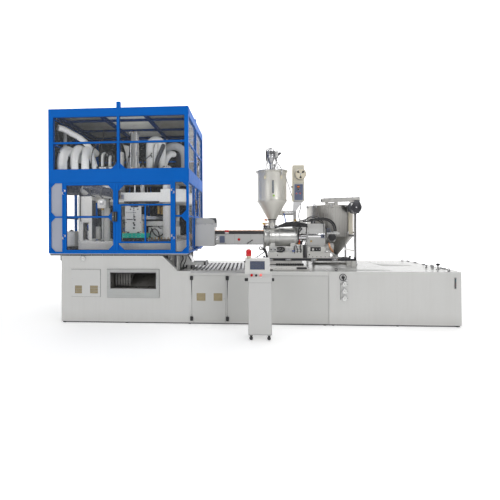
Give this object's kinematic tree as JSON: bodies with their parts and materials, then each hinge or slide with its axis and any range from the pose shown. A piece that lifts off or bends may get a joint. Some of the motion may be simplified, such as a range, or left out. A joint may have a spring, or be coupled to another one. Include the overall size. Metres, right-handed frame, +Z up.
{
  "type": "blow moulding machine",
  "caption": "Injection stretch blow moulding machine: guarded clamp with index table, screw injection unit with drying hopper, mixing tank, roller conveyor and operator console.",
  "frame": {"origin": "on the floor under the middle of the machine's bounding box", "axes": "+X from the clamp end to the power cabinet, +Y from the operator's side to the back, +Z up"},
  "size_m": [7.185, 3.1816, 3.957],
  "materials": {
    "machine_white": "semi-gloss warm light grey enamel",
    "cover_grey": "semi-gloss light grey enamel",
    "guard_blue": "glossy blue enamel",
    "clear_sheet": "clear acrylic sheet",
    "steel": "brushed and lightly oiled",
    "polished": "hard chromed, ground",
    "cast_white": "enamel on casting",
    "mould_steel": "ground tool steel",
    "mould_green": "satin green enamel",
    "blue_grey": "semi-gloss blue-grey enamel",
    "dark_metal": "satin black enamel",
    "greige": "semi-gloss light greige enamel",
    "cream": "semi-gloss cream enamel",
    "stainless": "brushed stainless",
    "duct": "corrugated flexible duct",
    "hose": "black hydraulic hose",
    "red_plastic": "gloss red",
    "black_plastic": "moulded black",
    "console_grey": "fine-textured light grey powder coat",
    "wheel_rubber": "solid rubber tread"
  },
  "bodies": {
    "machine": {"main_base": "machine_white", "power_cabinet": "machine_white", "front_fittings": "cover_grey", "conveyor_frame": "steel", "guard_frame": "guard_blue", "guard_sheets": "clear_sheet", "machine_bed": "cast_white", "tie_bars": "polished", "top_platen": "cast_white", "index_drive": "dark_metal", "takeout_unit": "cast_white", "injection_mould": "mould_steel", "rail_base": "cast_white", "purge_guard": "blue_grey", "mixer_tank": "stainless", "mixer_drive": "greige", "console_cabinet": "console_grey", "console_head": "console_grey", "beacon_lamp": "red_plastic", "air_ducts": "duct"},
    "sled": {"injection_sled": "cast_white", "barrel": "steel", "barrel_cover": "cover_grey", "injection_cylinder": "cast_white", "hopper": "greige", "hopper_loader": "steel", "hot_air_dryer": "cream", "hose_pressure": "hose", "hose_return": "hose"},
    "drive": {"screw_drive": "blue_grey"},
    "screw_body": {"screw": "polished"},
    "clamp": {"clamp_platen": "cast_white"},
    "table": {"index_table": "steel"},
    "mould_front": {"blow_mould_front": "mould_steel"},
    "mould_rear": {"blow_mould_rear": "mould_steel"},
    "stretch": {"stretch_rods": "polished"},
    "door_left": {"guard_door_left": "guard_blue"},
    "door_right": {"guard_door_right": "guard_blue"},
    "service_door_left": {"base_door_left": "cover_grey"},
    "service_door_right": {"base_door_right": "cover_grey"},
    "switch": {"main_switch": "black_plastic"},
    "stop_button": {"estop_button": "red_plastic"},
    "selector": {"mode_switch": "black_plastic"},
    "run_button": {"start_button": "red_plastic"},
    "wheel_1": {"caster_wheel_1": "wheel_rubber"},
    "wheel_2": {"caster_wheel_2": "wheel_rubber"},
    "wheel_3": {"caster_wheel_3": "wheel_rubber"},
    "wheel_4": {"caster_wheel_4": "wheel_rubber"},
    "roller_1": {"conveyor_roller_1": "polished"},
    "roller_2": {"conveyor_roller_2": "polished"},
    "roller_3": {"conveyor_roller_3": "polished"},
    "roller_4": {"conveyor_roller_4": "polished"},
    "roller_5": {"conveyor_roller_5": "polished"},
    "roller_6": {"conveyor_roller_6": "polished"},
    "roller_7": {"conveyor_roller_7": "polished"},
    "roller_8": {"conveyor_roller_8": "polished"},
    "roller_9": {"conveyor_roller_9": "polished"},
    "roller_10": {"conveyor_roller_10": "polished"},
    "roller_11": {"conveyor_roller_11": "polished"},
    "roller_12": {"conveyor_roller_12": "polished"}
  },
  "joints": [
    {"name": "guard_door_left_hinge", "type": "hinge", "parent": "machine", "child": "door_left", "pos_m": [-3.3075, -0.65619, 1.89], "axis": [0, 0, -1], "range_deg": [0, 100]},
    {"name": "guard_door_right_hinge", "type": "hinge", "parent": "machine", "child": "door_right", "pos_m": [-1.3175, -0.65619, 1.89], "axis": [0, 0, 1], "range_deg": [0, 100]},
    {"name": "base_door_left_hinge", "type": "hinge", "parent": "machine", "child": "service_door_left", "pos_m": [-0.9875, -0.66819, 0.45], "axis": [0, 0, -1], "range_deg": [0, 90]},
    {"name": "base_door_right_hinge", "type": "hinge", "parent": "machine", "child": "service_door_right", "pos_m": [-0.3575, -0.66819, 0.45], "axis": [0, 0, -1], "range_deg": [0, 90]},
    {"name": "table_index", "type": "hinge", "parent": "machine", "child": "table", "pos_m": [-2.1575, 0.40381, 1.89], "axis": [0, 0, 1], "continuous": true},
    {"name": "clamp_stroke", "type": "slide", "parent": "machine", "child": "clamp", "axis": [0, 0, 1], "range_m": [0, 0.18]},
    {"name": "mould_front_stroke", "type": "slide", "parent": "machine", "child": "mould_front", "axis": [0, -1, 0], "range_m": [0, 0.09]},
    {"name": "mould_rear_stroke", "type": "slide", "parent": "machine", "child": "mould_rear", "axis": [0, 1, 0], "range_m": [0, 0.09]},
    {"name": "stretch_stroke", "type": "slide", "parent": "machine", "child": "stretch", "axis": [0, 0, 1], "range_m": [-0.15, 0]},
    {"name": "sled_stroke", "type": "slide", "parent": "machine", "child": "sled", "axis": [1, 0, 0], "range_m": [0, 0.25]},
    {"name": "screw_drive_stroke", "type": "slide", "parent": "sled", "child": "drive", "axis": [1, 0, 0], "range_m": [0, 0.12]},
    {"name": "screw_rotation", "type": "hinge", "parent": "drive", "child": "screw_body", "pos_m": [-0.3575, 0.40381, 1.506], "axis": [1, 0, 0], "continuous": true},
    {"name": "main_switch_turn", "type": "hinge", "parent": "machine", "child": "switch", "pos_m": [1.6295, -0.66619, 0.833], "axis": [0, 1, 0], "range_deg": [0, 90]},
    {"name": "stop_button_press", "type": "slide", "parent": "machine", "child": "stop_button", "axis": [0, 0.9075, -0.4201], "range_m": [0, 0.006], "stiffness_N_per_m": 900},
    {"name": "run_button_press", "type": "slide", "parent": "machine", "child": "run_button", "axis": [0, 0.9075, -0.4201], "range_m": [0, 0.005], "stiffness_N_per_m": 600},
    {"name": "mode_switch_turn", "type": "hinge", "parent": "machine", "child": "selector", "pos_m": [0.1245, -1.56244, 0.9757], "axis": [0, 0.9075, -0.4201], "range_deg": [-45, 45]},
    {"name": "wheel_1_spin", "type": "hinge", "parent": "machine", "child": "wheel_1", "pos_m": [0.0475, -1.52619, 0.028], "axis": [0, 1, 0], "continuous": true},
    {"name": "wheel_2_spin", "type": "hinge", "parent": "machine", "child": "wheel_2", "pos_m": [0.3155, -1.52619, 0.028], "axis": [0, 1, 0], "continuous": true},
    {"name": "wheel_3_spin", "type": "hinge", "parent": "machine", "child": "wheel_3", "pos_m": [0.0475, -1.29619, 0.028], "axis": [0, 1, 0], "continuous": true},
    {"name": "wheel_4_spin", "type": "hinge", "parent": "machine", "child": "wheel_4", "pos_m": [0.3155, -1.29619, 0.028], "axis": [0, 1, 0], "continuous": true},
    {"name": "roller_1_spin", "type": "hinge", "parent": "machine", "child": "roller_1", "pos_m": [-0.962, 0.13481, 0.914], "axis": [0, 1, 0], "continuous": true},
    {"name": "roller_2_spin", "type": "hinge", "parent": "machine", "child": "roller_2", "pos_m": [-0.883, 0.13481, 0.914], "axis": [0, 1, 0], "continuous": true},
    {"name": "roller_3_spin", "type": "hinge", "parent": "machine", "child": "roller_3", "pos_m": [-0.804, 0.13481, 0.914], "axis": [0, 1, 0], "continuous": true},
    {"name": "roller_4_spin", "type": "hinge", "parent": "machine", "child": "roller_4", "pos_m": [-0.725, 0.13481, 0.914], "axis": [0, 1, 0], "continuous": true},
    {"name": "roller_5_spin", "type": "hinge", "parent": "machine", "child": "roller_5", "pos_m": [-0.646, 0.13481, 0.914], "axis": [0, 1, 0], "continuous": true},
    {"name": "roller_6_spin", "type": "hinge", "parent": "machine", "child": "roller_6", "pos_m": [-0.567, 0.13481, 0.914], "axis": [0, 1, 0], "continuous": true},
    {"name": "roller_7_spin", "type": "hinge", "parent": "machine", "child": "roller_7", "pos_m": [-0.488, 0.13481, 0.914], "axis": [0, 1, 0], "continuous": true},
    {"name": "roller_8_spin", "type": "hinge", "parent": "machine", "child": "roller_8", "pos_m": [-0.409, 0.13481, 0.914], "axis": [0, 1, 0], "continuous": true},
    {"name": "roller_9_spin", "type": "hinge", "parent": "machine", "child": "roller_9", "pos_m": [-0.33, 0.13481, 0.914], "axis": [0, 1, 0], "continuous": true},
    {"name": "roller_10_spin", "type": "hinge", "parent": "machine", "child": "roller_10", "pos_m": [-0.251, 0.13481, 0.914], "axis": [0, 1, 0], "continuous": true},
    {"name": "roller_11_spin", "type": "hinge", "parent": "machine", "child": "roller_11", "pos_m": [-0.172, 0.13481, 0.914], "axis": [0, 1, 0], "continuous": true},
    {"name": "roller_12_spin", "type": "hinge", "parent": "machine", "child": "roller_12", "pos_m": [-0.093, 0.13481, 0.914], "axis": [0, 1, 0], "continuous": true}
  ],
  "couplings": [
    {"joint": "mould_rear_stroke", "follows": "mould_front_stroke", "ratio": 1}
  ]
}
